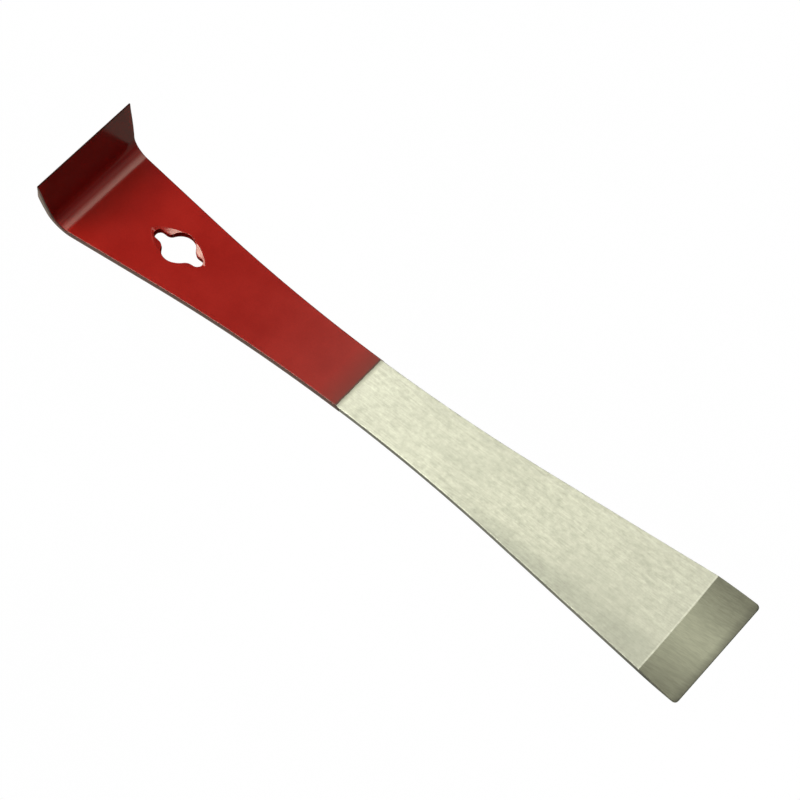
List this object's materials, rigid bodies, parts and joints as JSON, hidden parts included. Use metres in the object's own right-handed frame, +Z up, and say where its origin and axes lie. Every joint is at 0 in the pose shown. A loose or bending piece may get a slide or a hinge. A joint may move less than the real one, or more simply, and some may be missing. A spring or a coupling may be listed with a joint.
{
  "type": "hive tool",
  "caption": "Flat steel beekeeper's hive tool, waisted in the middle, with a chisel blade at one end, a right-angle scraping hook at the other, a nail hole and a painted hook half.",
  "frame": {"origin": "under the middle of the tool, on the plane of its painted underside", "axes": "+X along the bar towards the blade, +Y across the bar, +Z up, the way the hook stands"},
  "size_m": [0.265, 0.043, 0.0264],
  "materials": {
    "brushed_steel": "brushed along the bar, with a coarser grind on the blade's bevel",
    "red_paint": "glossy red powder coat"
  },
  "bodies": {
    "root": {"steel_bar": "brushed_steel", "red_coating": "red_paint"}
  },
  "joints": []
}
